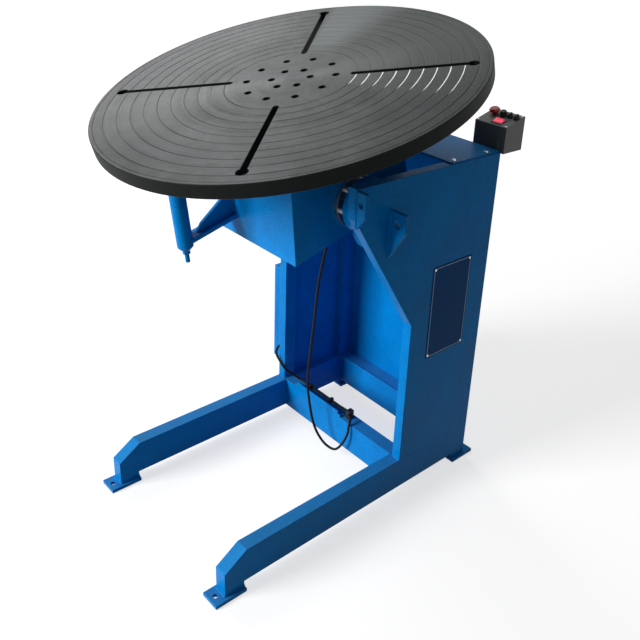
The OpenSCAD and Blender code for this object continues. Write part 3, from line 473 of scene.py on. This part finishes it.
drive(shader, "Normal", bump(dimples + 0.5 * noise(place, 90.0, 1.0), 0.0006, 0.35, 0.0022))
finishes["blue_enamel"] = material

# %% [markdown]
# ### Turned table
# The table is a turned steel disc, oiled and nearly black. Its tool marks follow circles, so
# the pattern is made on polar distance: the cradle's tilt is undone first, then the radius is
# the root of x^2 + y^2 and the bearing is atan2(y, x) in degrees. The floors of the cut rings
# are darkened as dirt and painted shade, much less in the far half. The right-hand side is
# darker as painted shade, and a wedge towards the top slot is lighter as a painted highlight.
# Beside one slot the ring edges carry a painted glint in a bright bare-steel colour.

# %% Turned steel
material, shader, place = finish("table_steel", Specular_IOR_Level=0.1)
flat = place.node("ShaderNodeVectorMath", {"operation": "SUBTRACT"}, i0=place, i1=tuple(AXIS))
flat = flat.node("ShaderNodeVectorRotate", {"rotation_type": "X_AXIS"}, Vector=flat, Angle=-TILT)
split = [flat.node("ShaderNodeSeparateXYZ", out=i, i0=flat) for i in range(3)]
radius = (split[0] * split[0] + split[1] * split[1]).maths("POWER", 0.5)
rings = radius.node("ShaderNodeCombineXYZ", i0=radius, i1=split[2] * 0.2)
turning = noise(rings, 900.0, 2.0, 0.7)
bands = noise(rings, 60.0, 3.0, 0.7)
stains = noise(place, 9.0, 5.0, 0.62)
tints = noise(place, 3.2, 3.0, 0.55)
mottle = noise(place, 34.0, 4.0, 0.75)
RING_FIRST, RING_STEP, FACE_Z, RIM = 0.168, 0.033, 0.2980, 0.4980
bearing = split[1].maths("ARCTAN2", split[0]) * float(np.degrees(1.0))
face = split[2].above(FACE_Z, 0.0008) * (1.0 - radius.above(RIM, 0.0008))
near_ring = (((radius - RING_FIRST) / RING_STEP).maths("FRACT") - 0.5).maths("ABSOLUTE")
ringed = radius.between(0.160, 0.470, 0.001)
in_ring = near_ring.above(0.474, 0.004) * ringed * split[2].between(0.2985, 0.2994, 0.0003)
# Painted glint: bands over the ring edges in one sector beside a slot, coloured bright bare steel.
ring_edge_band = near_ring.above(0.455, 0.020) * ringed
painted_glint_sector = bearing.above(16.0, 4.0) * (1.0 - bearing.above(38.0, 1.0)) * (1.0 - radius.above(0.43, 0.02))
painted_glint = ring_edge_band * painted_glint_sector * face
# Painted highlight: a lighter streak in a wedge towards the top slot.
painted_streak_highlight = bearing.above(96.0, 16.0) * (1.0 - bearing.above(124.0, 4.0)) * radius.above(0.14, 0.10)
# Painted shade: the right-hand side of the table is darkened.
painted_shade_right = (split[0] * 0.6 + split[1] * 0.8).above(0.02, 0.36)
# The ring floors are darkened as dirt and painted shade, with a noise, and much less in the far half.
far_half = (split[1] * 0.784 - split[0] * 0.621).above(0.00, 0.12)
groove_dirt_and_shade = (0.25 + noise(place, 4.0, 2.0).above(0.44, 0.12) * 0.75) * (1.0 - far_half * 0.9)
colour = stains.above(0.40, 0.20).mixed((0.010, 0.017, 0.015), (0.046, 0.051, 0.048))
colour = (tints.above(0.50, 0.12) * 0.45).mixed(colour, (0.046, 0.043, 0.062))
colour = (bands.above(0.4, 0.3) * 0.30).mixed(colour, (0.056, 0.060, 0.058))
colour = (mottle.above(0.50, 0.10) * 0.40).mixed(colour, (0.012, 0.017, 0.015))
colour = (painted_shade_right * 0.70).mixed(colour, (0.006, 0.013, 0.011))
colour = (painted_streak_highlight * 0.55).mixed(colour, (0.150, 0.175, 0.175))
colour = (in_ring * groove_dirt_and_shade).mixed(colour, (0.006, 0.006, 0.006))
colour = painted_glint.mixed(colour, (0.93, 0.95, 0.95))
colour = face.mixed((0.005, 0.006, 0.006), colour)
drive(shader, "Base Color", colour)
drive(shader, "Metallic", 0.22 + 0.75 * painted_glint)
drive(shader, "Roughness", 0.58 - face * (0.31 - 0.12 * stains))
drive(shader, "Normal", bump(turning * face, 0.0010, 0.8, 0.0012))
finishes["table_steel"] = material

# %% [markdown]
# ### Bare and plated steels
# Shafts and gears are ground steel with faint marks; screws are zinc plated; the recessed
# table screws are blackened. They share one recipe with different greys and roughness.

# %% Other steels
def steel(name, dark, light, low, high, metallic=1.0):
    """Metal whose grey and roughness both follow one noise between two values."""
    material, shader, place = finish(name, Metallic=metallic)
    scratches = noise(place, 120.0, 3.0, 0.6)
    drive(shader, "Base Color", scratches.mixed(dark, light))
    drive(shader, "Roughness", low + (high - low) * scratches)
    drive(shader, "Normal", bump(scratches, 0.0001, 0.3, 0.0006))
    finishes[name] = material


steel("machined_steel", (0.30, 0.30, 0.29), (0.46, 0.46, 0.45), 0.25, 0.42)
steel("bright_steel", (0.52, 0.52, 0.52), (0.66, 0.66, 0.66), 0.18, 0.32)
steel("zinc_screws", (0.50, 0.51, 0.53), (0.68, 0.69, 0.71), 0.25, 0.40)
steel("blackened_steel", (0.018, 0.018, 0.020), (0.050, 0.050, 0.055), 0.35, 0.55, 0.6)
steel("brush_copper", (0.30, 0.17, 0.10), (0.48, 0.29, 0.18), 0.35, 0.55, 0.8)

# %% [markdown]
# ### Paints and plastics
# The motors, the drive unit and the control box have quieter coats: one recipe gives a colour
# with soft clouds, a fine grain in the normal and its own roughness.

# %% Coats
def coat(name, dark, light, rough, grain=500.0, depth=0.0002, **constants):
    """A coat whose colour drifts between two shades, with grain of the given depth."""
    material, shader, place = finish(name, **constants)
    drift = noise(place, 12.0, 4.0, 0.6)
    drive(shader, "Base Color", drift.above(0.3, 0.4).mixed(dark, light))
    drive(shader, "Roughness", rough + 0.12 * drift)
    drive(shader, "Normal", bump(noise(place, grain, 2.0), depth, 0.4, 0.0010))
    finishes[name] = material


coat("motor_grey", (0.055, 0.060, 0.065), (0.080, 0.086, 0.092), 0.40)
coat("drive_plastic", (0.090, 0.095, 0.100), (0.120, 0.125, 0.130), 0.50)
coat("control_grey", (0.050, 0.052, 0.050), (0.072, 0.075, 0.072), 0.42)
coat("black_plastic", (0.008, 0.008, 0.009), (0.016, 0.016, 0.018), 0.45, Specular_IOR_Level=0.25)
coat("cable_jacket", (0.003, 0.003, 0.004), (0.008, 0.008, 0.009), 0.50, 900.0, 0.0001,
     Specular_IOR_Level=0.15)
coat("nameplate_navy", (0.003, 0.058, 0.190), (0.006, 0.068, 0.220), 0.40, 700.0, 0.00004,
     Specular_IOR_Level=0.05)
coat("plate_line", (0.42, 0.56, 0.74), (0.54, 0.66, 0.82), 0.45, Specular_IOR_Level=0.1)
coat("stop_red", (0.42, 0.010, 0.008), (0.55, 0.018, 0.012), 0.25)
coat("red_lens", (0.60, 0.010, 0.040), (0.75, 0.020, 0.060), 0.22, Emission_Color=(0.95, 0.04, 0.12),
     Emission_Strength=0.7)

# %% Put every finish on its slot
for name, node in nodes.items():
    node.data.materials.clear()
    node.data.materials.append(finishes[slot_of[name]])
for piece in (cable, stand_welds, cradle_welds, plate_border, panel_marks, panel_screws):
    piece.data.materials.append(finishes[piece["finish"]])
print("finishes:", len(finishes))

# %% [markdown]
# ## Floor, light and sky
# The floor is plain and pale. One large soft lamp stands at the front left, which leaves the
# right side of the columns in shade. A weaker one at the left gives the table its sheen, and
# the sky fills in weakly. Rays that look straight at the sky, or see it in a gloss, find it
# white.

# %% Floor
def seen(tree):
    """1 for rays from the camera, or through a gloss or a clear lens, and 0 for all others."""
    path = tree.nodes.new("ShaderNodeLightPath")
    ray_kinds = ("Is Camera Ray", "Is Glossy Ray", "Is Transmission Ray")
    camera_ray, glossy_ray, clear_ray = (Value(tree, path.outputs[kind]) for kind in ray_kinds)
    return camera_ray.maths("MAXIMUM", glossy_ray).maths("MAXIMUM", clear_ray)


HALF, DROP = 40.0, 0.0005
floor_points = [(-HALF, -HALF, -DROP), (HALF, -HALF, -DROP), (HALF, HALF, -DROP), (-HALF, HALF, -DROP)]
floor = make_piece("floor", floor_points, [[0, 1, 2, 3]], "floor_paint", None, False)
material, shader, place = finish("floor_paint", Base_Color=(0.50, 0.50, 0.50), Roughness=0.9,
                                 Specular_IOR_Level=0.0, Emission_Strength=1.0)
away = place.node("ShaderNodeVectorMath", {"operation": "LENGTH"}, out=1, i0=place).above(1.5, 5.0)
glow = away.mixed((0.68, 0.68, 0.68), (0.92, 0.92, 0.92))
drive(shader, "Emission Color", seen(material.node_tree).mixed((0.0, 0.0, 0.0), glow))
floor.data.materials.append(material)

# %% Lamps and sky
def lamp(name, place, aim, size, watts):
    """A square area lamp at a place, with its own -Z turned to the aim."""
    light = bpy.data.objects.new(name, bpy.data.lights.new(name, "AREA"))
    light.data.size, light.data.energy = size, watts
    light.location = place
    light.rotation_mode = "QUATERNION"
    light.rotation_quaternion = (Vector(aim) - Vector(place)).to_track_quat("-Z", "Y")
    scene.collection.objects.link(light)
    return light


lamp("key", (-3.2, -9.2, 4.4), (0, 0, 0.6), 4.0, 1300)
lamp("sheen", (-4.0, 1.0, 3.9), (0, 0, 1.2), 2.2, 72)

world = bpy.data.worlds.new("sky")
scene.world = world
world.use_nodes = True
sky = world.node_tree.nodes["Background"]
drive(sky, "Color", seen(world.node_tree).mixed((0.13, 0.13, 0.13), (1.0, 1.0, 1.0)))
sky.inputs["Strength"].default_value = 1.0
scene.view_settings.view_transform = "Standard"
